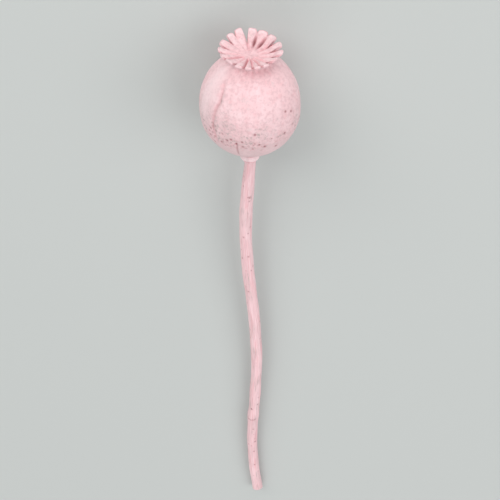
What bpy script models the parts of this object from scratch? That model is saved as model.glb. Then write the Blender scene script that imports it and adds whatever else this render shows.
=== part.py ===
# A dried poppy seed head on its cut stem, painted a chalky pale pink and lying on its side.
# Metres, +Z up. The head points to +Y and rests on a small flat spot at the origin.
# Three grown pieces: the stem with its receptacle, the seed capsule, and the crown of stigma rays.
import math

import bpy
from mathutils import Matrix, Vector, noise

GAP = 0.0003  # left between neighbouring pieces

# The head as a whole
HEAD_TILT = math.radians(10)  # the crown end is raised by this much
# Where the slits between the rays are, in degrees round from the head's own X
SLIT_ANGLES = (25, 53, 76, 99, 121, 144, 171, 190, 212, 238, 259, 275, 291, 310, 334, 357)
RAY_COUNT = len(SLIT_ANGLES)
RAY_PITCH = math.tau / RAY_COUNT
FLAT_DEPTH = 0.0005  # pressed in where the belly lies on the surface

# Seed capsule, measured from its centre
CAPSULE_RADIUS = 0.0205
SHOULDER_HEIGHT = 0.0236  # where the round of the shoulders would close without the neck
CAPSULE_TOP = 0.0230
CAPSULE_BOTTOM = 0.0208
CAPSULE_COLUMNS = 5 * RAY_COUNT
CAPSULE_RINGS = 28
NECK_RADIUS = 0.0078
FOOT_RADIUS = 0.0029
FOOT_LENGTH = 0.0038
BASE_DIMPLE = 0.0007
RIB_AT_BELLY = 0.00005
RIB_AT_SHOULDER = 0.00010
PORE_DEPTH = 0.0009
PORE_HEIGHT = 0.0218
FURROW_DEPTH = 0.00015  # from the pores down over the shoulder
FURROW_START = 0.016
FURROW_HALF_WIDTH = 0.2  # as a share of the space between two furrows
CREASE_ANGLE = math.radians(225)
CREASE_WIDTH = 0.07  # in radians
CREASE_DEPTH = 0.0006
CREASE_TOP = 0.017
CREASE_BOTTOM = -0.008
FACET_ANGLE = math.radians(198)
FACET_WIDTH = 0.3  # in radians
FACET_HEIGHT = 0.006
FACET_LENGTH = 0.009
FACET_DEPTH = 0.0005
LUMP_HEIGHT = 0.0003
LUMP_SIZE = 0.013

# Crown
CROWN_RADIUS = 0.0127
CROWN_FOOT_RADIUS = 0.0068
CROWN_CENTRE = 0.0243  # height of the middle of its face
CROWN_THICKNESS = 0.0013
CROWN_COLUMNS = 10 * RAY_COUNT
BOWL_RISE = 0.0031
RAY_RIDGE = 0.0006
RIDGE_HALF_WIDTH = 0.24  # this and the next as shares of the space between two slits
GROOVE_HALF_WIDTH = 0.22
GROOVE_DEPTH = 0.0008
OPEN_GROOVES = (1, 2)  # rays joined at their tips, with a deep slot further in
SLOT_DEPTH = 0.0007
SLOT_PLACE = 0.62 * CROWN_RADIUS
# Percent of the crown's radius: how deep each slit is, and how much longer or shorter each ray is
SLIT_DEPTHS = (34, 10, 12, 42, 12, 26, 22, 14, 10, 10, 16, 15, 18, 16, 20, 34)
RAY_LENGTHS = (-6, 2, 6, 8, 0, 2, 2, -3, -4, -2, 5, 5, -3, 0, 1, -4)
TIP_HEIGHTS = (0.3, 0.0, 0.2, 0.4, 0.7, 0.1, -0.2, -0.3, -0.1, -0.4, -0.5, -0.3, -0.6, -0.1, 0.2, 0.5)  # mm

# Stem and receptacle
FLANGE_RADIUS = 0.0044
RING_RADIUS = 0.0031
# The flange's outline under the pod: share of its radius, and how far below its top
FLANGE_OUTLINE = (
    (0, 0),
    (0.66, 0),
    (0.84, -0.0006),
    (0.95, -0.0003),
    (1, 0.0006),
    (0.98, 0.0014),
    (0.87, 0.0021),
    (0.68, 0.0024),
)
RING_OUTLINE = ((0.96, 0.0027), (1, 0.0031), (0.97, 0.0036), (0.84, 0.0039))
RECEPTACLE_LENGTH = 0.0043
STEM_RADIUS = 0.00285
STEM_TOP_RADIUS = 0.0024
STEM_TAPER = 0.010  # the stem reaches its full thickness over about this length
STEM_LENGTH = 0.235
STEM_COLUMNS = 14
STEM_RINGS = 58
BEND_LENGTH = 0.030  # the stem levels out over about this length
SWAY = 0.0021
SWAY_WAVE = 0.160
DRIFT = 0.0050
CUT_SLANT = math.tan(math.radians(25))
CUT_REACH = 0.010  # the rings lean over this far before the slanted cut
PITH_RADIUS = 0.0019
PITH_DEPTH = 0.0008
SCAR_PLACE = 0.168  # where a leaf has grown, measured down the stem
SCAR_HEIGHT = 0.0004

CHALKY_PINK = (0.84, 0.60, 0.61)
SHADED_PINK = (0.80, 0.55, 0.56)
CROWN_PINK = (0.86, 0.63, 0.64)

HEAD_CENTRE = Vector((0, 0, CAPSULE_RADIUS - FLAT_DEPTH))
HEAD_AXIS = Vector((0, math.cos(HEAD_TILT), math.sin(HEAD_TILT)))
RECEPTACLE_TOP = CAPSULE_BOTTOM + FOOT_LENGTH + GAP  # below the centre, where the foot sits
STEM_START = RECEPTACLE_TOP + RECEPTACLE_LENGTH


def ramp(value, low, high):
    """0 below low, 1 above high, and a smooth rise between them."""
    share = min(1, max(0, (value - low) / (high - low)))
    return share * share * (3 - 2 * share)


def bump(distance, width):
    """1 at no distance, fading to nothing over about twice the width."""
    return math.exp(-((distance / width) ** 2))


def blended(first, second, sharpness=6):
    """The larger of two radii, with a soft fillet where they are alike."""
    return (first**sharpness + second**sharpness) ** (1 / sharpness)


def turned(angle, other):
    """The smallest angle between two directions."""
    return abs((angle - other + math.pi) % math.tau - math.pi)


def grown(angle):
    """Where an evenly spaced angle lies on the head, whose rays grew unevenly."""
    place = (angle / RAY_PITCH) % RAY_COUNT
    first = math.floor(place)
    start, end = SLIT_ANGLES[first % RAY_COUNT], SLIT_ANGLES[(first + 1) % RAY_COUNT]
    return math.radians(start + (end - start) % 360 * (place - first))


def gap_distance(angle):
    """How far an angle is from the nearest furrow: 0 in it, 0.5 on a ray."""
    share = (angle / RAY_PITCH) % 1
    return min(share, 1 - share)


def spun(name, profile, columns):
    """A mesh turned by a Screw modifier from (radius, height) points, top to bottom."""
    mesh = bpy.data.meshes.new(name + "_profile")
    points = [(radius, 0, height) for radius, height in profile]
    mesh.from_pydata(points, [(i, i + 1) for i in range(len(points) - 1)], [])
    outline = bpy.data.objects.new(name + "_profile", mesh)
    bpy.context.scene.collection.objects.link(outline)
    screw = outline.modifiers.new("Turn", "SCREW")
    screw.axis = "Z"
    screw.steps = screw.render_steps = columns
    screw.use_merge_vertices = True
    screw.merge_threshold = 0.00001
    graph = bpy.context.evaluated_depsgraph_get()
    result = bpy.data.meshes.new_from_object(outline.evaluated_get(graph))
    result.name = name
    bpy.data.objects.remove(outline)
    bpy.data.meshes.remove(mesh)
    return result


def piece(name, mesh, colour, collection, parent=None):
    """A named object with a matt paint of its own."""
    paint = bpy.data.materials.new(name + "_paint")
    paint.use_nodes = True
    shader = paint.node_tree.nodes["Principled BSDF"]
    shader.inputs["Base Color"].default_value = (*colour, 1)
    shader.inputs["Roughness"].default_value = 0.9
    shader.inputs["Metallic"].default_value = 0
    mesh.materials.clear()
    mesh.materials.append(paint)
    mesh.shade_smooth()
    mesh.set_sharp_from_angle(angle=math.radians(50))
    obj = bpy.data.objects.new(name, mesh)
    obj.parent = parent
    collection.objects.link(obj)
    return obj


def capsule_profile():
    """Half outline of the pod: flat top, neck, round body, foot."""
    points = [(0, CAPSULE_TOP), (NECK_RADIUS, CAPSULE_TOP)]
    first, last = math.radians(17), math.radians(168)
    for i in range(CAPSULE_RINGS + 1):
        turn = first + (last - first) * i / CAPSULE_RINGS
        upper = turn < math.pi / 2
        radius = blended(CAPSULE_RADIUS * math.sin(turn), NECK_RADIUS if upper else FOOT_RADIUS)
        height = (SHOULDER_HEIGHT if upper else CAPSULE_BOTTOM) * math.cos(turn)
        height += 0 if upper else BASE_DIMPLE * bump(radius - 1.5 * FOOT_RADIUS, 0.6 * FOOT_RADIUS)
        points.append((radius, height))
    foot_end = -(CAPSULE_BOTTOM + FOOT_LENGTH)
    points += [(FOOT_RADIUS, foot_end + 0.7 * FOOT_LENGTH), (1.05 * FOOT_RADIUS, foot_end), (0, foot_end)]
    return points


def capsule_relief(angle, height):
    """How far the pod's skin stands out from its turned shape, at an evenly spaced angle."""
    upward = ramp(height, -CAPSULE_BOTTOM, CAPSULE_TOP)
    rib = RIB_AT_BELLY + (RIB_AT_SHOULDER - RIB_AT_BELLY) * upward
    relief = -rib * math.cos(RAY_COUNT * angle)
    furrow = max(0, 1 - gap_distance(angle) / FURROW_HALF_WIDTH)
    relief -= PORE_DEPTH * furrow * bump(height - PORE_HEIGHT, 0.0007)
    relief -= FURROW_DEPTH * furrow * ramp(height, FURROW_START, CAPSULE_TOP)
    ends = ramp(height, CREASE_BOTTOM, CREASE_BOTTOM + 0.006) * ramp(-height, -CREASE_TOP, 0.004 - CREASE_TOP)
    relief -= CREASE_DEPTH * bump(turned(grown(angle), CREASE_ANGLE), CREASE_WIDTH) * ends
    facet = bump(turned(grown(angle), FACET_ANGLE), FACET_WIDTH) * bump(height - FACET_HEIGHT, FACET_LENGTH)
    return relief - FACET_DEPTH * facet


def make_capsule(collection, head):
    mesh = spun("capsule", capsule_profile(), CAPSULE_COLUMNS)
    for vertex in mesh.vertices:
        x, y, z = vertex.co
        radius, angle = math.hypot(x, y), math.atan2(y, x)
        if radius > 1.1 * FOOT_RADIUS and z < 0.99 * CAPSULE_TOP:
            lumps = noise.noise(vertex.co / LUMP_SIZE) * ramp(radius, NECK_RADIUS, CAPSULE_RADIUS)
            radius += capsule_relief(angle, z) + LUMP_HEIGHT * lumps
        angle = grown(angle)
        vertex.co = Vector((radius * math.cos(angle), radius * math.sin(angle), z))
    return piece("capsule", mesh, CHALKY_PINK, collection, head)


def face_height(radius):
    """Height of the crown's saucer-shaped face at a distance from its middle."""
    return CROWN_CENTRE + BOWL_RISE * (radius / CROWN_RADIUS) ** 1.8


def underside_height(radius):
    """Height of the crown's underside, which leans out from its foot."""
    low = face_height(CROWN_FOOT_RADIUS) - 1.2 * CROWN_THICKNESS
    high = face_height(CROWN_RADIUS) - CROWN_THICKNESS
    return low + (high - low) * (radius - CROWN_FOOT_RADIUS) / (CROWN_RADIUS - CROWN_FOOT_RADIUS)


def crown_profile():
    """Half outline of the crown: face, rim, underside, foot. The heights are set when the rays are cut."""
    face = [(share * CROWN_RADIUS, 0.001) for share in (0, 0.2, 0.36, 0.5, 0.62, 0.74, 0.87, 1)]
    rim = [(1.02 * CROWN_RADIUS, 0)]
    underside = [(share * CROWN_RADIUS, -0.001) for share in (1, 0.87, 0.74)]
    foot = [(CROWN_FOOT_RADIUS, -0.001), (CROWN_FOOT_RADIUS, -0.002), (0, -0.002)]
    return face + rim + underside + foot


def ray_at(angle):
    """Numbers of the two rays on either side of an angle, and the second one's share."""
    place = angle / RAY_PITCH - 0.5
    before = math.floor(place)
    return before % RAY_COUNT, (before + 1) % RAY_COUNT, ramp(place - before, 0.35, 0.65)


def ray_reach(angle):
    """Share of the crown's radius that the edge reaches: short in a slit, full on a ray's tip."""
    depth = SLIT_DEPTHS[round(angle / RAY_PITCH) % RAY_COUNT] / 100
    half_width = 0.12 + 0.20 * depth
    before, after, share = ray_at(angle)
    length = (RAY_LENGTHS[before] + (RAY_LENGTHS[after] - RAY_LENGTHS[before]) * share) / 100
    away = gap_distance(angle)
    return (1 + length) * (1 - 0.1 * (1 - 2 * away) ** 2) * (1 - depth * max(0, 1 - away / half_width))


def crown_point(x, y, z):
    """Moves a point of the turned blank onto the cut and ridged crown."""
    radius, angle = math.hypot(x, y), math.atan2(y, x)
    if z < -0.0015:
        return Vector((x, y, CAPSULE_TOP + GAP))
    whole = CROWN_FOOT_RADIUS
    if radius > whole + 1e-6:
        reach = max(whole * 1.04, CROWN_RADIUS * ray_reach(angle))
        radius = whole + (radius - whole) * (reach - whole) / (CROWN_RADIUS - whole)
    before, after, share = ray_at(angle)
    tip = (TIP_HEIGHTS[before] + (TIP_HEIGHTS[after] - TIP_HEIGHTS[before]) * share) / 1000
    tip *= ramp(radius, whole, CROWN_RADIUS) if radius > whole else 0
    top, bottom = face_height(radius), underside_height(radius)
    away = gap_distance(angle)
    groove = max(0, 1 - away / GROOVE_HALF_WIDTH)
    top += RAY_RIDGE * max(0, 1 - ((0.5 - away) / RIDGE_HALF_WIDTH) ** 2) * ramp(radius, 0.001, 0.006)
    top -= GROOVE_DEPTH * groove * ramp(radius, 0.004, whole) * (1.25 - radius / CROWN_RADIUS)
    if round(angle / RAY_PITCH) % RAY_COUNT in OPEN_GROOVES:
        top -= SLOT_DEPTH * groove * bump(radius - SLOT_PLACE, 0.2 * CROWN_RADIUS)
    height = top if z > 0.0005 else bottom if z < -0.0005 else (top + bottom) / 2
    angle = grown(angle)
    return Vector((radius * math.cos(angle), radius * math.sin(angle), height + tip))


def make_crown(collection, head):
    mesh = spun("crown", crown_profile(), CROWN_COLUMNS)
    for vertex in mesh.vertices:
        vertex.co = crown_point(*vertex.co)
    return piece("crown", mesh, CROWN_PINK, collection, head)


def stem_profile():
    """Half outline of the receptacle and the stem, as radius and distance from the stem's start."""
    flange = [(share * FLANGE_RADIUS, below - RECEPTACLE_LENGTH) for share, below in FLANGE_OUTLINE]
    ring = [(share * RING_RADIUS, below - RECEPTACLE_LENGTH) for share, below in RING_OUTLINE]
    shaft = []
    for i in range(STEM_RINGS + 1):
        distance = STEM_LENGTH * i / STEM_RINGS
        taper = (STEM_TOP_RADIUS - STEM_RADIUS) * bump(distance, STEM_TAPER)
        swelling = 0.08 * STEM_RADIUS * bump(distance - SCAR_PLACE, 0.004)
        shaft.append((STEM_RADIUS + taper + swelling, distance))
    floor = STEM_LENGTH - PITH_DEPTH
    pith = [(1.15 * PITH_RADIUS, STEM_LENGTH), (PITH_RADIUS, floor), (0, floor)]
    return [(radius, -distance) for radius, distance in flange + ring + shaft + pith]


def stem_point(distance):
    """Centre line of the stem: straight out of the head, then level, with a gentle sway."""
    start = HEAD_CENTRE - HEAD_AXIS * STEM_START
    if distance <= 0:
        return start - HEAD_AXIS * distance
    bend = BEND_LENGTH * (1 - math.exp(-distance / BEND_LENGTH))
    whole_bend = BEND_LENGTH * (1 - math.exp(-STEM_LENGTH / BEND_LENGTH))
    drop = start.z - STEM_RADIUS + 0.2 * FLAT_DEPTH
    slope = (drop - math.tan(HEAD_TILT) * whole_bend) / (STEM_LENGTH - whole_bend)
    fall = slope * distance + (math.tan(HEAD_TILT) - slope) * bend
    onset = 1 - math.exp(-distance / 0.010)
    side = DRIFT * (distance / STEM_LENGTH) ** 2 - SWAY * onset * math.sin(math.tau * distance / SWAY_WAVE)
    return start + Vector((side, -distance, -fall))


def stem_place(x, y, distance):
    """Moves a point of the straight stem onto the bent one."""
    distance += CUT_SLANT * y * ramp(distance, STEM_LENGTH - CUT_REACH, STEM_LENGTH - PITH_DEPTH)
    step = 0.0005
    along = (stem_point(distance + step) - stem_point(distance - step)).normalized()
    across = (Vector((1, 0, 0)) - along * along.x).normalized()
    down = across.cross(along)
    return stem_point(distance) + across * x + down * y


def make_stem(collection):
    mesh = spun("stem", stem_profile(), STEM_COLUMNS)
    for vertex in mesh.vertices:
        x, y, z = vertex.co
        scar = SCAR_HEIGHT * bump(-z - SCAR_PLACE, 0.003) * max(0, -y) / STEM_RADIUS
        vertex.co = stem_place(x, y - scar, -z)
    return piece("stem", mesh, SHADED_PINK, collection)


def rest_on_surface(pieces, collection):
    """Cuts the low spots flat at Z 0, where the part touches what it lies on."""
    depth = 0.01
    bpy.ops.mesh.primitive_cube_add(size=1, location=(0, -STEM_LENGTH / 2, -depth / 2))
    cutter = bpy.context.object
    cutter.name = "surface"
    cutter.scale = (4 * CAPSULE_RADIUS, 2 * STEM_LENGTH, depth)
    cutter.hide_render = True
    cutter.display_type = "WIRE"
    for owner in cutter.users_collection:
        owner.objects.unlink(cutter)
    collection.objects.link(cutter)
    for obj in pieces:
        flat = obj.modifiers.new("Flat spot", "BOOLEAN")
        flat.operation = "DIFFERENCE"
        flat.solver = "EXACT"
        flat.object = cutter


def main():
    for obj in list(bpy.data.objects):
        bpy.data.objects.remove(obj)
    part = bpy.data.collections.new("poppy_seed_head")
    cutters = bpy.data.collections.new("cutters")
    bpy.context.scene.collection.children.link(part)
    bpy.context.scene.collection.children.link(cutters)
    head = bpy.data.objects.new("head_axis", None)
    head.matrix_world = Matrix.Translation(HEAD_CENTRE) @ Matrix.Rotation(HEAD_TILT - math.pi / 2, 4, "X")
    part.objects.link(head)
    capsule = make_capsule(part, head)
    make_crown(part, head)
    stem = make_stem(part)
    rest_on_surface([capsule, stem], cutters)


main()
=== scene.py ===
import math
import random

import bmesh
import bpy
from mathutils import Matrix, Vector, kdtree, noise


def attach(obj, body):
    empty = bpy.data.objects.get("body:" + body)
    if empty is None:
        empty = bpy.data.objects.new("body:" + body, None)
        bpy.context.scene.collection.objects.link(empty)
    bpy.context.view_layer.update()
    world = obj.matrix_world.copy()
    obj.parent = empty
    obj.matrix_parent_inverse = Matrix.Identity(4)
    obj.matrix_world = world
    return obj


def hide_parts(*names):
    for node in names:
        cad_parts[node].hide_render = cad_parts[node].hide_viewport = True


# A dried poppy seed head on its cut stem, in chalky pale pink paint, lying on a pale table.
# Three grown pieces: the pod, its crown of rays, and the stem with its receptacle.
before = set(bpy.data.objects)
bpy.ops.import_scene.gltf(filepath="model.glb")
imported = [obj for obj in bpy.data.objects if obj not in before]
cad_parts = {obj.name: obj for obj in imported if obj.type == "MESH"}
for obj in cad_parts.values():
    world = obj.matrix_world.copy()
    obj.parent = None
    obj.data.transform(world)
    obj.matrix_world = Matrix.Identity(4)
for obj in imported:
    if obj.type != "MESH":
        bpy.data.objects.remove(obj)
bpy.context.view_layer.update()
print("frame loaded")


# Small sums used by all the pieces
def ramp(value, low, high):  # 0 below low, 1 above high, a smooth rise between
    share = min(1, max(0, (value - low) / (high - low)))
    return share * share * (3 - 2 * share)


def fall(value, low, high):  # 1 below low, 0 above high
    return ramp(-value, -high, -low)


def bump(distance, width):  # 1 at no distance, gone at about twice the width
    return math.exp(-((distance / width) ** 2))


def apart(angle, other):  # the smallest angle between two directions
    return abs((angle - other + math.pi) % math.tau - math.pi)


def softMax(first, second, sharpness):  # the larger of two radii, with a fillet where they are alike
    return (first**sharpness + second**sharpness) ** (1 / sharpness)


def smoothLine(points, steps):  # a finer line through the same points
    ends = [points[0]] + list(points) + [points[-1]]
    line = []
    for i in range(len(points) - 1):
        a, b, c, d = (Vector(point) for point in ends[i:i + 4])
        for step in range(steps):
            t = step / steps
            bend, twist = 2 * a - 5 * b + 4 * c - d, 3 * b - 3 * c + d - a
            line.append(0.5 * (2 * b + (c - a) * t + bend * t**2 + twist * t**3))
    return [tuple(point) for point in line] + [tuple(points[-1])]


def cloud(spot, size, shift=(0, 0, 0)):  # smooth noise with blobs of about this size, moved to another place in it
    return noise.noise(spot / size + Vector(shift))


weldDistance = 0.000001  # vertices nearer than this become one


def turnProfile(points, columns):  # spins (radius, height) points, top to bottom, into a closed shape
    bm = bmesh.new()
    verts = [bm.verts.new((max(0, radius), 0, height)) for radius, height in points]
    edges = [bm.edges.new(pair) for pair in zip(verts, verts[1:])]
    bmesh.ops.spin(bm, geom=verts + edges, axis=(0, 0, 1), cent=(0, 0, 0),
                   steps=columns, angle=math.tau, use_merge=True)
    bmesh.ops.remove_doubles(bm, verts=bm.verts, dist=weldDistance)
    bmesh.ops.recalc_face_normals(bm, faces=bm.faces)
    return bm


# The paint: one function adds a node with its settings and links, one turns hex into linear light
def srgb(code):
    parts = [int(code[i:i + 2], 16) / 255 for i in (1, 3, 5)]
    return tuple(part / 12.92 if part <= 0.04045 else ((part + 0.055) / 1.055) ** 2.4 for part in parts) + (1,)


def addNode(paint, kind, settings, links):
    node = paint.node_tree.nodes.new("ShaderNode" + kind)
    for name, value in settings.items():
        setattr(node, name, value)
    for name, value in links.items():
        if isinstance(value, bpy.types.NodeSocket):
            paint.node_tree.links.new(value, node.inputs[name])
        else:
            node.inputs[name].default_value = value
    return node


# Chalk paint over a dry plant: a dead matt skin that shows every dent, powdery under grazing light,
# clouded where it went on thick or thin, and freckled where the plant shows through its pinholes
chalk = {
    "pink": "#F3CFD3",
    "coats": {  # each coat's colour, patch size in metres, and the noise at which its patches start and are full
        "pale": {"colour": "#FCE0E4", "size": 0.0060, "from": 0.42, "to": 0.62, "detail": 4},  # thick paint
        "salmon": {"colour": "#EDBABF", "size": 0.0026, "from": 0.52, "to": 0.68, "detail": 3},  # a warmer first coat
        "greyGreen": {"colour": "#D6C5C6", "size": 0.0036, "from": 0.56, "to": 0.70, "detail": 5},  # plant below
        "freckle": {"colour": "#D8B2B7", "size": 0.0013, "from": 0.44, "to": 0.64, "detail": 4},  # pinholes
    },
    "coatShift": 1.7,  # keeps one coat's patches off the next one's
    "coatRoughness": 0.6,
    "stemStretch": (1.6, 1.6, 0.16),  # on the stem the patches run lengthwise
    "marks": {  # colour, strength and how speckled: painted highlight on edges and crests, dusted thin, worn, painted shade in hollows, gone in pits and dark in the crown's slots as painted shade
        # painted highlight: paler paint on ray tips, rib crests, the flange's rim and the pod's facet
        "thick": ("#FFE9EC", 0.7, 0.2),
        "thin": ("#C2AFAE", 0.85, 1.0),
        "worn": ("#E0C6C8", 0.9, 0.15),
        # painted shade: darker pink in creases, grooves, pores, slits, under the crown and under the flange
        "hollow": ("#DF9CA3", 0.8, 0.2),
        "mark": ("#9A5C61", 1.0, 0.0),
    },
    "speckle": {"size": 0.0013, "from": 0.50, "to": 0.66, "detail": 4, "roughness": 0.65},
    "grain": {"size": 0.00035, "height": 0.00006, "detail": 3, "roughness": 0.7},  # as fine as it still shows
    "surface": {"Roughness": 0.92, "IOR": 1.4, "Specular IOR Level": 0.25,
                "Sheen Weight": 0.08, "Sheen Roughness": 0.6},  # dead matt, with the powdery edge of chalk
}


def chalkPaint(name, shares, alongStem=False):  # shares: how much of each coat's patches this piece shows
    paint = bpy.data.materials.new(name)
    paint.use_nodes = True
    shader = paint.node_tree.nodes["Principled BSDF"]
    where = addNode(paint, "TexCoord", {}, {}).outputs["Object"]
    if alongStem:  # the coordinates that the stem had before it was bent
        straight = addNode(paint, "Attribute", {"attribute_name": "straight"}, {}).outputs["Vector"]
        where = addNode(paint, "Mapping", {}, {"Vector": straight, "Scale": chalk["stemStretch"]}).outputs[0]
    colour = srgb(chalk["pink"])
    for number, (coatName, coat) in enumerate(chalk["coats"].items()):
        patches = addNode(paint, "TexNoise", {"noise_dimensions": "4D"},
                          {"Vector": where, "W": chalk["coatShift"] * number, "Scale": 1 / coat["size"],
                           "Detail": coat["detail"], "Roughness": chalk["coatRoughness"]})
        mask = addNode(paint, "MapRange", {"interpolation_type": "SMOOTHSTEP"},
                       {"Value": patches.outputs[0], "From Min": coat["from"], "From Max": coat["to"],
                        "To Max": shares[coatName]})
        colour = addNode(paint, "Mix", {"data_type": "RGBA"},  # a mix takes its colours at 6 and 7, and gives at 2
                         {0: mask.outputs[0], 6: colour, 7: srgb(coat["colour"])}).outputs[2]
    fine = chalk["speckle"]
    speckle = addNode(paint, "TexNoise", {}, {"Vector": where, "Scale": 1 / fine["size"],
                                              "Detail": fine["detail"], "Roughness": fine["roughness"]})
    for attribute, (over, strength, speckled) in chalk["marks"].items():
        value = addNode(paint, "Attribute", {"attribute_name": attribute}, {}).outputs["Fac"]
        spread = addNode(paint, "MapRange", {"interpolation_type": "SMOOTHSTEP"},
                         {"Value": speckle.outputs[0], "From Min": fine["from"], "From Max": fine["to"],
                          "To Min": strength * (1 - 0.7 * speckled), "To Max": strength * (1 + 0.5 * speckled)})
        mask = addNode(paint, "Math", {"operation": "MULTIPLY"}, {0: value, 1: spread.outputs[0]}).outputs[0]
        colour = addNode(paint, "Mix", {"data_type": "RGBA"}, {0: mask, 6: colour, 7: srgb(over)}).outputs[2]
    paint.node_tree.links.new(colour, shader.inputs["Base Color"])
    grain = chalk["grain"]
    powder = addNode(paint, "TexNoise", {}, {"Vector": where, "Scale": 1 / grain["size"],
                                             "Detail": grain["detail"], "Roughness": grain["roughness"]})
    relief = addNode(paint, "Bump", {}, {"Height": powder.outputs[0], "Distance": grain["height"], "Strength": 1.0})
    paint.node_tree.links.new(relief.outputs[0], shader.inputs["Normal"])
    for setting, value in chalk["surface"].items():
        shader.inputs[setting].default_value = value
    return paint


def markVert(vert, layers, **amounts):  # how thick, thin or bare the paint is here, and where highlight and shade are painted, each from 0 to 1
    for mark, amount in amounts.items():
        vert[layers[mark]] = max(0, min(1, amount))


def finishPiece(bm, name, paint, node):  # hides the frame's node that this piece stands for
    mesh = bpy.data.meshes.new(name)
    bm.to_mesh(mesh)
    bm.free()
    mesh.materials.append(paint)
    mesh.shade_smooth()
    piece = bpy.data.objects.new(name, mesh)
    bpy.context.scene.collection.objects.link(piece)
    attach(piece, "root")
    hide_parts(node)
    print(name, "done:", len(mesh.polygons), "faces")
    return piece


# How the head lies, and how its rays are spread
head = {
    "tilt": math.radians(10),  # the crown end is raised by this much
    "centreHeight": 0.0200,
    "slits": (25, 53, 76, 99, 121, 144, 171, 190, 212, 238, 259, 275, 291, 310, 334, 357),  # degrees round the axis
}
rays = len(head["slits"])
pitch = math.tau / rays
headPlace = Matrix.Translation((0, 0, head["centreHeight"])) @ Matrix.Rotation(head["tilt"] - math.pi / 2, 4, "X")


def fromGap(angle):  # how far an angle is from the nearest slit: 0 in it, 0.5 on a ray
    share = (angle / pitch) % 1
    return min(share, 1 - share)


def grown(angle):  # where an evenly spaced angle lies on the head, whose rays grew unevenly
    place = (angle / pitch) % rays
    first = math.floor(place)
    start, end = head["slits"][first % rays], head["slits"][(first + 1) % rays]
    return math.radians(start + (end - start) % 360 * (place - first))


def around(values, place):  # a value that changes smoothly from one ray or gap to the next
    before = math.floor(place)
    share = ramp(place - before, 0.35, 0.65)
    return values[before % rays] * (1 - share) + values[(before + 1) % rays] * share


def placeOnHead(radius, angle, height):
    spot = headPlace @ Vector((radius * math.cos(angle), radius * math.sin(angle), height))
    spot.z = max(0, spot.z)  # pressed flat where it touches the table
    return spot


pitDepth = 0.00012


def pressPits(bm, pits):  # small dark pits, each a place, a size and a darkness, in a skin already in place
    bm.normal_update()
    bm.verts.ensure_lookup_table()
    markLayer = bm.verts.layers.float["mark"]
    tree = kdtree.KDTree(len(bm.verts))
    for vert in bm.verts:
        tree.insert(vert.co, vert.index)
    tree.balance()
    for place, size, darkness in pits:
        centre = tree.find(place)[0]
        for spot, index, distance in tree.find_range(centre, 2.2 * size):
            vert = bm.verts[index]
            vert.co -= vert.normal * pitDepth * bump(distance, size)
            vert[markLayer] = min(1, vert[markLayer] + darkness * bump(distance, size))


# Seed pod: lengths in metres; a pair of heights is where something fades out or in
pod = {
    "radius": 0.0205,
    "shoulder": 0.0236,  # where the round of the shoulders would close without the neck
    "top": 0.0230,
    "bottom": 0.0208,
    "skinTurns": (math.radians(17), math.radians(168)),  # the part of the pod's round that the skin follows
    "columns": 360,
    "rings": 230,
    "neckRadius": 0.0078,
    "footRadius": 0.0029,
    "footLength": 0.0038,
    "filletSharpness": 6,
    "seat": 0.0003,  # the foot reaches this far on, to stand on the receptacle
    "baseDimple": 0.0007,
    "ribAtBelly": 0.00003,
    "ribAtShoulder": 0.00007,
    "pore": {"height": 0.0218, "tall": 0.0006, "width": 0.0009, "depth": 0.0004},
    "poreLip": {"height": 0.0208, "tall": 0.0010, "aside": 0.0016, "width": 0.0005, "rise": 0.00005},
    "furrow": {"from": 0.016, "width": 0.0010, "depth": 0.00010},
    "lump": {"size": 0.013, "height": 0.0003},
    "dent": {"size": 0.0035, "height": 0.00007},
    "wrinkle": {"perRadian": 5.2, "length": 0.009, "wander": 0.35, "wanderSize": 0.004, "depth": 0.00005},
    "wrinkledBelow": (-0.012, 0.004),
    "creasePath": ((-9, 231), (-3, 227), (3, 224.5), (8, 226), (12, 229), (15, 228), (20, 221)),  # mm up, degrees
    "crease": {"bottom": -0.0080, "bottomFade": 0.006, "top": 0.0205, "topFade": 0.004, "width": 0.0008,
               "depth": 0.00065, "lipAside": 0.0019, "lipWidth": 0.0011, "lip": 0.00018},
    "creaseShallows": (0.014, 0.019),
    "fold": {"angle": math.radians(209), "width": 0.0011, "depth": 0.00025},  # shallower, beside the crease
    "foldBottom": (-0.009, -0.003),
    "foldTop": (0.007, 0.013),
    "facet": {"angle": math.radians(198), "spread": 0.3, "height": 0.006, "tall": 0.009, "depth": 0.0006},
    "crack": {"angle": math.radians(255), "wander": 0.02, "wanderSize": 0.003, "bottom": -0.0130, "bottomFade": 0.003,
              "top": -0.0018, "topFade": 0.002, "width": 0.00030, "depth": 0.00018},  # a short split low on the pod
    "wornBelow": {"height": -0.0045, "wander": 0.0040, "wanderSize": 0.009, "fade": 0.0015, "cloud": 0.004},
    "specks": {"tall": 0.0022, "size": 0.0008, "depth": 0.00008},  # bare specks along the worn paint's edge
    "dust": {"cloud": 0.006, "fromLeft": (-0.006, 0.010)},
    "dustTop": (-0.002, 0.011),
    "darkPatch": {"angle": math.radians(244), "spread": 0.22, "height": 0.0065, "tall": 0.0050},
    "scuff": {"aside": 0.0004, "width": 0.0007, "height": 0.0125, "tall": 0.0026},  # in the crease
    # painted highlight on the facet left of the crease
    "thickPatch": {"angle": math.radians(203), "spread": 0.30, "bottom": (-0.006, 0.004)},
    "stain": {"size": 0.0015, "top": (-0.002, 0.006)},  # dark spots down the crease
    "pits": {"number": 100, "spread": 0.0035, "sizes": (0.00028, 0.00048), "darkness": (0.2, 0.9)},
    "ownPits": ((315, 8.1), (323, 6.5), (275, 1.7), (254, -3.7), (261, -2.3), (244, -2.7), (280, -3.7), (287, -5.4),
                (302, -7.4), (312, -1.5), (236, -5.0), (249, -1.9)),  # degrees round the axis, and height in mm
    "ownPitSizes": (0.00040, 0.00055),
    "shares": {"pale": 0.5, "salmon": 0.4, "greyGreen": 0.45, "freckle": 0.5},
}


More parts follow.
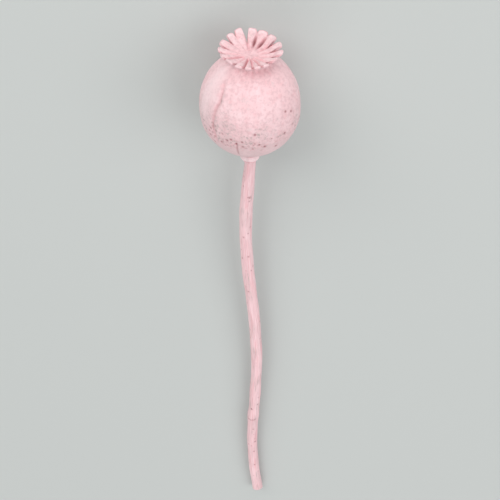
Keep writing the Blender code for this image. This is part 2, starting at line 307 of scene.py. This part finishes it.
def podProfile():
    points = [(0, pod["top"]), (0.5 * pod["neckRadius"], pod["top"]), (0.96 * pod["neckRadius"], pod["top"])]
    first, last = pod["skinTurns"]
    for i in range(pod["rings"] + 1):
        turn = first + (last - first) * i / pod["rings"]
        upper = turn < math.pi / 2
        inner = pod["neckRadius"] if upper else pod["footRadius"]
        radius = softMax(pod["radius"] * math.sin(turn), inner, pod["filletSharpness"])
        height = (pod["shoulder"] if upper else pod["bottom"]) * math.cos(turn)
        if not upper:
            height += pod["baseDimple"] * bump(radius - 1.5 * pod["footRadius"], 0.6 * pod["footRadius"])
        points.append((radius, height))
    end = -(pod["bottom"] + pod["footLength"])
    points += [(pod["footRadius"], end + share * pod["footLength"]) for share in (0.8, 0.6, 0.4, 0.2)]
    return points + [(1.05 * pod["footRadius"], end - pod["seat"]), (0, end - pod["seat"])]


def creasePath(height):  # the crease wanders on its way down
    path = pod["creasePath"]
    for (low, start), (high, end) in zip(path, path[1:]):
        if 1000 * height < high or high == path[-1][0]:
            return math.radians(start + (end - start) * ramp(1000 * height, low, high))


def podCrease(radius, angle, height):  # the crease, how far to its side this is, and how far the skin stands out
    crease, fold, facet = pod["crease"], pod["fold"], pod["facet"]
    ends = ramp(height, crease["bottom"], crease["bottom"] + crease["bottomFade"])
    ends *= fall(height, crease["top"] - crease["topFade"], crease["top"])
    across = ((angle - creasePath(height) + math.pi) % math.tau - math.pi) * radius
    within = bump(across, crease["width"]) * ends * (1 - 0.5 * ramp(height, *pod["creaseShallows"]))
    lip = crease["lip"] * bump(across - crease["lipAside"], crease["lipWidth"]) * ends
    relief = lip - crease["depth"] * within
    folded = fold["depth"] * bump(apart(angle, fold["angle"]) * radius, fold["width"])
    relief -= folded * ramp(height, *pod["foldBottom"]) * fall(height, *pod["foldTop"])
    flattened = bump(apart(angle, facet["angle"]), facet["spread"]) * bump(height - facet["height"], facet["tall"])
    return within, across, relief - facet["depth"] * flattened


def podCrack(radius, angle, height):  # how much of the crack is here, 0 to 1
    crack = pod["crack"]
    wander = crack["wander"] * noise.noise(Vector((3, 1, height / crack["wanderSize"])))
    within = bump(apart(angle, crack["angle"] + wander) * radius, crack["width"])
    within *= ramp(height, crack["bottom"], crack["bottom"] + crack["bottomFade"])
    return within * fall(height, crack["top"] - crack["topFade"], crack["top"])


def podRelief(radius, angle, height, spot):  # how far the skin stands out, and the paint's marks on it
    pore, lip, furrow, wrinkle = pod["pore"], pod["poreLip"], pod["furrow"], pod["wrinkle"]
    upward = ramp(height, -pod["bottom"], pod["top"])
    rib = pod["ribAtBelly"] + (pod["ribAtShoulder"] - pod["ribAtBelly"]) * upward
    relief = -rib * math.cos(rays * angle)
    sideways = fromGap(angle) * pitch * radius
    inPore = bump(sideways, pore["width"]) * bump(height - pore["height"], pore["tall"])
    relief -= pore["depth"] * inPore
    relief -= furrow["depth"] * bump(sideways, furrow["width"]) * ramp(height, furrow["from"], pod["top"])
    relief += lip["rise"] * bump(sideways - lip["aside"], lip["width"]) * bump(height - lip["height"], lip["tall"])
    angle = grown(angle)
    inCrease, across, creased = podCrease(radius, angle, height)
    inCrack = podCrack(radius, angle, height)
    relief += creased - pod["crack"]["depth"] * inCrack

    body = ramp(radius, pod["neckRadius"], pod["radius"])
    relief += pod["lump"]["height"] * cloud(spot, pod["lump"]["size"]) * body
    relief += pod["dent"]["height"] * noise.fractal(spot / pod["dent"]["size"], 0.9, 2.0, 3) * body
    upright = Vector((angle * wrinkle["perRadian"], height / wrinkle["length"], 0.0))
    wander = Vector([cloud(spot, wrinkle["wanderSize"], shift) for shift in ((0, 0, 0), (7, 3, 1), (2, 8, 5))])
    crest = 1 - abs(noise.noise(upright + wrinkle["wander"] * wander))
    relief -= wrinkle["depth"] * (0.3 + 2.2 * fall(height, *pod["wrinkledBelow"])) * crest**6 * body

    worn, specks, dust = pod["wornBelow"], pod["specks"], pod["dust"]
    wander = noise.fractal(spot / worn["wanderSize"] + Vector((5, 2, 1)), 1.0, 2.0, 3)
    edge = worn["height"] + worn["wander"] * wander
    band = ramp(edge - height, 0, worn["fade"])
    speckled = bump(height - edge, specks["tall"]) * ramp(cloud(spot, specks["size"], (9, 4, 7)), 0.20, 0.50)
    relief -= specks["depth"] * speckled
    dusty = max(0, 0.65 + 0.9 * cloud(spot, dust["cloud"], (6, 3, 2))) * (0.65 + 0.6 * fall(spot.x, *dust["fromLeft"]))
    thin = fall(height, *pod["dustTop"]) * dusty * (1 - 0.6 * band)
    patch = pod["darkPatch"]
    thin += 0.4 * bump(apart(angle, patch["angle"]), patch["spread"]) * bump(height - patch["height"], patch["tall"])
    patch = pod["scuff"]
    thin += 1.6 * bump(across - patch["aside"], patch["width"]) * bump(height - patch["height"], patch["tall"])
    # painted highlight: the facet is painted paler
    patch = pod["thickPatch"]
    thick = 0.9 * bump(apart(angle, patch["angle"]), patch["spread"]) * ramp(height, *patch["bottom"])
    stained = ramp(cloud(spot, pod["stain"]["size"]), 0.1, 0.5) * fall(height, *pod["stain"]["top"])
    return relief, {
        "thick": thick,
        "thin": thin,
        "worn": band * (0.85 + 0.4 * cloud(spot, worn["cloud"])),
        # painted shade in the crease and pores, and the bare specks' own darker colour
        "hollow": 0.55 * inCrease + 0.1 * inPore + 0.5 * speckled,
        "mark": 0.6 * inCrack + 0.5 * inCrease * stained,
    }


def podPits():  # a few pits in places of their own, and many scattered along the worn paint's edge
    draw = random.Random(12)
    skin, scattered = 0.98 * pod["radius"], pod["pits"]
    pits = [(placeOnHead(skin, math.radians(turn), 0.001 * height), draw.uniform(*pod["ownPitSizes"]), 1.0)
            for turn, height in pod["ownPits"]]
    for pit in range(scattered["number"]):
        height = pod["wornBelow"]["height"] + draw.gauss(0, scattered["spread"])
        spot = placeOnHead(skin, draw.uniform(0, math.tau), height)
        pits.append((spot, draw.uniform(*scattered["sizes"]), draw.uniform(*scattered["darkness"])))
    return pits


def makePod():
    bm = turnProfile(podProfile(), pod["columns"])
    layers = {mark: bm.verts.layers.float.new(mark) for mark in chalk["marks"]}
    for vert in bm.verts:
        x, y, height = vert.co
        radius, angle = math.hypot(x, y), math.atan2(y, x)
        if radius > 1.1 * pod["footRadius"] and height < 0.99 * pod["top"]:
            relief, marks = podRelief(radius, angle, height, vert.co.copy())
            radius += relief
            markVert(vert, layers, **marks)
        vert.co = placeOnHead(radius, grown(angle), height)
    pressPits(bm, podPits())
    return finishPiece(bm, "seedPod", chalkPaint("chalkPaintOnSeedPod", pod["shares"]), "capsule")


makePod()

# Crown: a shallow saucer cut into rays with rounded tips, each with a raised band along its middle
crown = {
    "radius": 0.0124,
    "footRadius": 0.0068,
    "footBottom": -0.0002,  # above the pod's top, so a little inside the pod
    "footTop": 0.0006,
    "centre": 0.0243,
    "rise": 0.0030,  # how much higher the rim is than the middle
    "thickness": 0.0013,
    "columns": 960,
    "faceRings": 44,
    "undersideRings": 12,
    "band": {"height": 0.00016, "width": 0.0009, "from": (0.0008, 0.0040)},
    "dome": {"height": 0.00030, "from": (0.002, 0.008)},
    "groove": {"depth": 0.0010, "width": 0.0005, "from": (0.0012, 0.0050), "nearRim": (0.0085, 0.0115)},
    "grooves": (45, 15, 15, 50, 10, 12, 12, 30, 100, 30, 100, 60, 60, 50, 35, 45),  # percent, one for each gap
    "lip": 0.00014,  # the rim turns up a little
    "lipFrom": 0.80,
    "roundTip": 0.11,
    "joinedTip": 0.35,  # how much of that rounding joined rays keep
    "slitDepths": (34, 4, 4, 42, 5, 26, 22, 8, 8, 9, 16, 15, 18, 16, 20, 34),  # percent of the radius
    "rayLengths": (-1, 3, 5, 7, -1, -1, -1, -4, -6, 0, 7, 7, 0, 0, 4, -1),  # percent longer or shorter
    "tipHeights": (0.2, -0.1, 0.0, 0.1, 0.3, -0.1, -0.2, -0.3, -0.1, -0.4, -0.5, -0.3, -0.5, 0.0, 0.1, 0.3),  # mm
    "slotted": (1, 2),  # the gaps whose rays are joined at their tips, with a deep slot further in
    "slot": {"place": 0.0075, "length": 0.0026, "width": 0.00050, "depth": 0.0012},
    "undersideCurve": 0.0003,
    "lump": {"size": 0.0030, "height": 0.00010},
    "grain": {"size": 0.0009, "height": 0.00004},
    "rimRoll": 0.0006,
    # painted shade towards the crown's middle
    "hollowCentre": (0.0050, 0.0100),
    "patchSize": 0.0015,
    "shares": {"pale": 0.4, "salmon": 0.7, "greyGreen": 0.3, "freckle": 0.5},
}


def crownProfile():  # the height holds the sheet: 1 on the face, -1 on the underside, less on the foot
    whole = crown["footRadius"] / crown["radius"]
    points = [(i / crown["faceRings"], 1) for i in range(crown["faceRings"])]
    points += [(1, math.sin(math.radians(turn))) for turn in range(90, -91, -15)]
    points += [(1 - (1 - whole) * i / crown["undersideRings"], -1.001) for i in range(1, crown["undersideRings"] + 1)]
    points += [(whole, -2), (whole, -3), (0.5 * whole, -3), (0, -3)]
    return [(share * crown["radius"], 0.001 * sheet) for share, sheet in points]


def rayReach(angle, away, lateral, gap):  # how far out the crown reaches here, with rounded tips and slits between
    depth = 0.01 * crown["slitDepths"][gap]
    tip = 1 + 0.01 * around(crown["rayLengths"], angle / pitch - 0.5)
    kept = crown["joinedTip"] if gap in crown["slotted"] else 1
    tip -= kept * crown["roundTip"] * (1 - math.sqrt(max(0, 1 - lateral**2.5)))
    wall = 1 - depth * (1 - min(1, max(0, (away - 0.02) / (0.10 + 0.42 * depth))))  # deeper slits flare more
    return max(1.03 * crown["footRadius"], crown["radius"] * tip * wall)


def makeCrown():
    bm = turnProfile(crownProfile(), crown["columns"])
    layers = {mark: bm.verts.layers.float.new(mark) for mark in chalk["marks"]}
    whole, outer = crown["footRadius"], crown["radius"]
    band, dome, grooved, slotted = crown["band"], crown["dome"], crown["groove"], crown["slot"]
    for vert in bm.verts:
        x, y, sheet = vert.co
        radius, angle, sheet = math.hypot(x, y), math.atan2(y, x), 1000 * sheet
        if sheet < -1.5:
            height = pod["top"] + (crown["footTop"] if sheet > -2.5 else crown["footBottom"])
            vert.co = placeOnHead(radius, grown(angle), height)
            continue
        away = fromGap(angle)
        lateral = 1 - 2 * away  # 0 on the middle of a ray, 1 in the gap
        gap = round(angle / pitch) % rays
        joined = gap in crown["slotted"]
        share = radius / outer
        atRim = share > 0.999
        if radius > whole:
            radius = whole + (radius - whole) * (rayReach(angle, away, lateral, gap) - whole) / (outer - whole)
        fromSlit = away * pitch * radius
        half = 0.5 * crown["thickness"] * (0.78 + 0.47 * fall(radius, whole, outer))
        middle = crown["centre"] + crown["rise"] * (radius / outer) ** 1.8 - half
        middle += 0.001 * around(crown["tipHeights"], angle / pitch - 0.5) * ramp(radius, whole, outer)

        strength = 0.01 * around(crown["grooves"], angle / pitch)
        top = half + band["height"] * bump(lateral * 0.5 * pitch * radius, band["width"]) * ramp(radius, *band["from"])
        domed = (1 - lateral**2) * ramp(radius, *dome["from"]) * (0.2 + 0.8 * strength)
        top += dome["height"] * (domed - 0.5)
        groove = bump(fromSlit, grooved["width"]) * ramp(radius, *grooved["from"])
        groove *= strength + (0 if joined else 0.4) * (1 - strength) * ramp(radius, *grooved["nearRim"])
        slot = bump(fromSlit, slotted["width"]) * bump(radius - slotted["place"], slotted["length"]) if joined else 0
        top += crown["lip"] * ramp(share, crown["lipFrom"], 1.0) * (1 - lateral**4)
        top -= grooved["depth"] * groove + slotted["depth"] * slot
        bottom = crown["undersideCurve"] * lateral**4 - half

        spot = Vector((radius * math.cos(angle), radius * math.sin(angle), 0.004 * sheet))
        height = middle + (top if sheet > 0 else bottom)
        if atRim and abs(sheet) < 0.999:
            height = middle + (top + bottom) / 2 + (top - bottom) / 2 * sheet
        for bulk in (crown["lump"], crown["grain"]):
            height += bulk["height"] * cloud(spot, bulk["size"])

        # painted shade in the grooves, slots, slit walls and middle of the crown
        inSlit = ramp(lateral, 0.45, 0.95) * ramp(share, 0.97, 1.0) * min(1, 0.04 * crown["slitDepths"][gap])
        hollow = 0.9 * groove + 0.9 * slot + inSlit + 0.2 * fall(radius, *crown["hollowCentre"])
        # painted highlight on the face of the ray tips
        onTip = (0 if atRim else 1) * ramp(share, 0.80, 0.96) * (1 - lateral**3)
        thin = 0.35 * ramp(cloud(spot, crown["patchSize"], (2, 8, 3)), 0.1, 0.5)
        # painted shade on the underside, and dark paint in the slots as painted shade
        markVert(vert, layers, thick=onTip if sheet > 0 else 0, thin=thin,
                 hollow=hollow if sheet > -0.5 else 0.3, mark=0.8 * slot)
        if atRim:  # rolled from the face to the underside
            radius -= crown["rimRoll"] * (1 - math.sqrt(max(0, 1 - sheet * sheet)))
        vert.co = placeOnHead(radius, grown(angle), height)
    return finishPiece(bm, "rayCrown", chalkPaint("chalkPaintOnCrown", crown["shares"]), "crown")


makeCrown()

# Stem: the receptacle under the pod, then a thin stalk with fine lengthwise ribs, ending in a slanted cut
stem = {
    "radius": 0.00285,
    "topRadius": 0.0024,
    "taper": 0.010,
    "length": 0.235,
    "columns": 64,
    "rings": 820,
    "flangeRadius": 0.0044,
    "ringRadius": 0.0031,
    "receptacle": 0.0043,
    "bend": 0.030,  # the stem levels out over about this length
    "sway": 0.0021,
    "swayWave": 0.160,
    "swayOnset": 0.010,
    "drift": 0.0050,
    "pressed": 0.0001,  # how far the stem's end is pressed flat on the table
    "cutSlant": math.tan(math.radians(25)),
    "pithRadius": 0.0019,
    "pithDepth": 0.0008,
    "scarPlace": 0.168,
    "scarHeight": 0.0004,
    "scarWidth": 0.0030,
    "scarDroop": 0.0022,
    "ribs": 19,
    "rib": 0.00011,
    "ribTwist": {"turn": 2.2, "length": 0.030},
    "ribBreaks": {"across": 0.002, "along": 0.020},
    "unevenness": {"across": 0.004, "along": 0.012, "height": 0.00028},
    "grain": {"size": 0.0009, "height": 0.00003},
    "pithGrain": {"size": 0.0006, "height": 0.00012},
    "flangeUnevenness": 0.00022,
    "thinPatch": {"across": 0.0018, "along": 0.012},
    "cutEdge": 0.010,  # the slant grows over this length
    "pits": {"number": 90, "from": 0.004, "sizes": (0.00025, 0.00055), "darkness": (0.3, 1.0)},
    "shares": {"pale": 0.5, "salmon": 0.7, "greyGreen": 0.35, "freckle": 0.45},
}
receptacleTop = pod["bottom"] + pod["footLength"] + pod["seat"]
headCentre = Vector((0, 0, head["centreHeight"]))
headAxis = Vector((0, math.cos(head["tilt"]), math.sin(head["tilt"])))
stemStart = headCentre - headAxis * (receptacleTop + stem["receptacle"])


def stemProfile():  # radius, and distance from the start of the stalk counted upwards
    flange = [(0.66, 0), (0.84, -0.0006), (0.95, -0.0003), (1, 0.0006), (0.98, 0.0014), (0.87, 0.0021), (0.68, 0.0024)]
    points = [(share * stem["flangeRadius"], below) for share, below in flange]
    ring = [(0.84, 0.0026), (1, 0.0031), (0.97, 0.0036), (0.84, 0.0039), (0.78, 0.0043)]
    points += [(share * stem["ringRadius"], below) for share, below in ring]
    line = [(0, 0)] + smoothLine(points, 5)
    line = [(radius, stem["receptacle"] - below) for radius, below in line]
    for i in range(1, stem["rings"] + 1):
        distance = stem["length"] * i / stem["rings"]
        taper = (stem["topRadius"] - stem["radius"]) * bump(distance, stem["taper"])
        swelling = 0.08 * stem["radius"] * bump(distance - stem["scarPlace"], 0.004)
        line.append((stem["radius"] + taper + swelling, -distance))
    end = stem["length"]
    line += [(0.93 * stem["radius"], -end - 0.0001), (0.80 * stem["radius"], -end)]
    line += [(1.15 * stem["pithRadius"], 0.0001 - end), (stem["pithRadius"], stem["pithDepth"] - end)]
    return line + [(share * stem["pithRadius"], stem["pithDepth"] - end) for share in (0.75, 0.5, 0.25, 0)]


def stemPoint(distance):  # the centre line: straight out of the head, then level, with a gentle sway
    if distance <= 0:
        return stemStart - headAxis * distance
    length, bend = stem["length"], stem["bend"]
    bent = bend * (1 - math.exp(-distance / bend))
    wholeBend = bend * (1 - math.exp(-length / bend))
    drop = stemStart.z - stem["radius"] + stem["pressed"]
    slope = (drop - math.tan(head["tilt"]) * wholeBend) / (length - wholeBend)
    fall = slope * distance + (math.tan(head["tilt"]) - slope) * bent
    onset = 1 - math.exp(-distance / stem["swayOnset"])
    side = stem["drift"] * (distance / length) ** 2
    side -= stem["sway"] * onset * math.sin(math.tau * distance / stem["swayWave"])
    return stemStart + Vector((side, -distance, -fall))


def placeOnStem(x, y, distance):
    length = stem["length"]
    distance += stem["cutSlant"] * y * ramp(distance, length - stem["cutEdge"], length - stem["pithDepth"])
    near = 0.0005
    along = (stemPoint(distance + near) - stemPoint(distance - near)).normalized()
    across = (Vector((1, 0, 0)) - along * along.x).normalized()
    spot = stemPoint(distance) + across * x + across.cross(along) * y
    spot.z = max(0, spot.z)
    return spot


def stalkRelief(x, y, distance, angle):  # how far the stalk's skin stands out, and the paint's marks on it
    twist, breaks, uneven, grain = stem["ribTwist"], stem["ribBreaks"], stem["unevenness"], stem["grain"]
    wander = noise.noise(Vector((math.cos(angle), math.sin(angle), distance / twist["length"])))
    broken = noise.noise(Vector((x / breaks["across"], y / breaks["across"], distance / breaks["along"])))
    rib = math.sin(stem["ribs"] * angle + twist["turn"] * wander) * (0.6 + 0.7 * broken)
    relief = stem["rib"] * rib * ramp(distance, 0, 0.006)
    slow = Vector((x / uneven["across"], y / uneven["across"], distance / uneven["along"]))
    relief += uneven["height"] * noise.noise(slow) + grain["height"] * cloud(Vector((x, y, distance)), grain["size"])
    front = max(0, -math.sin(angle + 0.5))  # the side that the leaf grew on
    below = distance - stem["scarPlace"] - stem["scarDroop"] * front + 0.0006 * cloud(Vector((x, y, 0)), 0.001)
    relief += stem["scarHeight"] * front * (bump(below, stem["scarWidth"]) - 0.5 * bump(below, 0.0006))
    # painted highlight on the rib crests and painted shade between them
    return relief, {
        "thick": 0.6 * ramp(rib, 0.3, 1.1),
        "hollow": 0.55 * fall(rib, -1.0, -0.2),
        "mark": 0.45 * ramp(front, 0.3, 0.8) * bump(below, 0.0005),
    }


def stemPits():
    draw = random.Random(21)
    scattered = stem["pits"]
    pits = []
    for pit in range(scattered["number"]):
        distance, turn = draw.uniform(scattered["from"], stem["length"]), draw.uniform(0, math.tau)
        spot = placeOnStem(stem["radius"] * math.cos(turn), stem["radius"] * math.sin(turn), distance)
        pits.append((spot, draw.uniform(*scattered["sizes"]), draw.uniform(*scattered["darkness"])))
    return pits


def makeStem():
    bm = turnProfile(stemProfile(), stem["columns"])
    layers = {mark: bm.verts.layers.float.new(mark) for mark in chalk["marks"]}
    straightLayer = bm.verts.layers.float_vector.new("straight")
    pith, flange, patch = stem["pithRadius"], stem["flangeRadius"], stem["thinPatch"]
    for vert in bm.verts:
        x, y, z = vert.co
        distance, radius, angle = -z, math.hypot(x, y), math.atan2(y, x)
        straight = Vector((x, y, distance))
        if distance > 0 and radius > 0.78 * stem["radius"]:
            relief, marks = stalkRelief(x, y, distance, angle)
            radius += relief
        elif distance > stem["length"] - 0.002:  # the dry pith in the cut end, with painted shade in its recess
            distance += stem["pithGrain"]["height"] * cloud(straight, stem["pithGrain"]["size"])
            marks = {"hollow": 0.5, "mark": 0.35 * fall(radius, 0.8 * pith, 1.1 * pith)}
        else:  # the receptacle's edge is a little uneven
            uneven = noise.noise(Vector((math.cos(angle), math.sin(angle), z / 0.004)) * 1.7)
            radius += stem["flangeUnevenness"] * uneven * ramp(radius, 0.5 * flange, flange)
            # painted highlight on the flange's rim
            marks = {"hollow": 0.5 * bump(distance + 0.0018, 0.0007),  # painted shade under the flange
                     "thick": ramp(radius, 0.80 * flange, 0.95 * flange)}
        vert[straightLayer] = straight
        thin = noise.noise(Vector((x / patch["across"], y / patch["across"], distance / patch["along"])))
        markVert(vert, layers, thin=0.7 * ramp(thin, 0.05, 0.50), **marks)
        vert.co = placeOnStem(radius * math.cos(angle), radius * math.sin(angle), distance)
    pressPits(bm, stemPits())
    return finishPiece(bm, "cutStem", chalkPaint("chalkPaintOnStalk", stem["shares"], alongStem=True), "stem")


makeStem()

# The table: plain pale board
table = {"colour": "#C4CAC8", "size": 30.0, "below": 0.00002}  # a hair below the part, so that neither cuts the other


def makeTable():
    bm = bmesh.new()
    bmesh.ops.create_grid(bm, x_segments=1, y_segments=1, size=table["size"] / 2)
    bmesh.ops.translate(bm, verts=bm.verts, vec=(0, 0, -table["below"]))
    mesh = bpy.data.meshes.new("tableTop")
    bm.to_mesh(mesh)
    bm.free()
    board = bpy.data.materials.new("paleMattBoard")  # smooth coated board: no gloss, so the shadows stay soft
    board.use_nodes = True
    shader = board.node_tree.nodes["Principled BSDF"]
    shader.inputs["Base Color"].default_value = srgb(table["colour"])
    shader.inputs["Roughness"].default_value = 0.95
    shader.inputs["Specular IOR Level"].default_value = 0.1
    mesh.materials.append(board)
    top = bpy.data.objects.new("tableTop", mesh)
    bpy.context.scene.collection.objects.link(top)
    print("table done")


makeTable()

# Light: four soft windows, the brightest to the upper left of the crown, and an even pale room
lights = {
    "key": {"place": (-0.90, 1.22, 1.06), "size": 1.3, "power": 16, "colour": "#FFFBFA"},
    "fill": {"place": (1.10, 0.15, 1.20), "size": 1.3, "power": 11, "colour": "#FFFAFB"},
    "crown": {"place": (0.20, 1.50, 0.45), "size": 0.9, "power": 5.2, "colour": "#FFFBFA"},  # low, into the crown
    "foot": {"place": (-0.30, -1.30, 0.80), "size": 1.2, "power": 6.5, "colour": "#FFFAFB"},
}
room = {"colour": "#EAEAEA", "strength": 0.52}


def makeLight():
    target = Vector((0, -0.02, 0.02))
    for name, light in lights.items():
        lamp = bpy.data.lights.new(name + "Window", "AREA")
        lamp.shape = "SQUARE"
        lamp.size = light["size"]
        lamp.energy = light["power"]
        lamp.color = srgb(light["colour"])[:3]
        window = bpy.data.objects.new(name + "Window", lamp)
        window.location = light["place"]
        window.visible_camera = False  # lights the part without being seen itself
        window.rotation_euler = (target - Vector(light["place"])).to_track_quat("-Z", "Y").to_euler()
        bpy.context.scene.collection.objects.link(window)
    world = bpy.data.worlds.new("paleRoom")
    world.use_nodes = True
    world.node_tree.nodes["Background"].inputs["Color"].default_value = srgb(room["colour"])
    world.node_tree.nodes["Background"].inputs["Strength"].default_value = room["strength"]
    bpy.context.scene.world = world
    bpy.context.scene.view_settings.view_transform = "Standard"
    print("lights done")


makeLight()

# Camera: looks down on the head from beyond its crown, 52 degrees off its axis, with the stem running down the picture
camera = {"elevation": math.radians(62), "distance": 0.36, "aim": (0, -0.082, 0.008), "fieldOfView": math.radians(31.5)}


def makeCamera():
    toward = Vector((0, math.cos(camera["elevation"]), math.sin(camera["elevation"])))
    place = headCentre + toward * camera["distance"]
    back = (place - Vector(camera["aim"])).normalized()
    up = (Vector((0, 1, 0)) - back * back.y).normalized()
    right = up.cross(back)
    lens = bpy.data.cameras.new("photoView")
    lens.angle = camera["fieldOfView"]
    view = bpy.data.objects.new("photoView", lens)
    view.matrix_world = Matrix.Translation(place) @ Matrix((right, up, back)).transposed().to_4x4()
    bpy.context.scene.collection.objects.link(view)
    bpy.context.scene.camera = view
    print("camera done")


makeCamera()
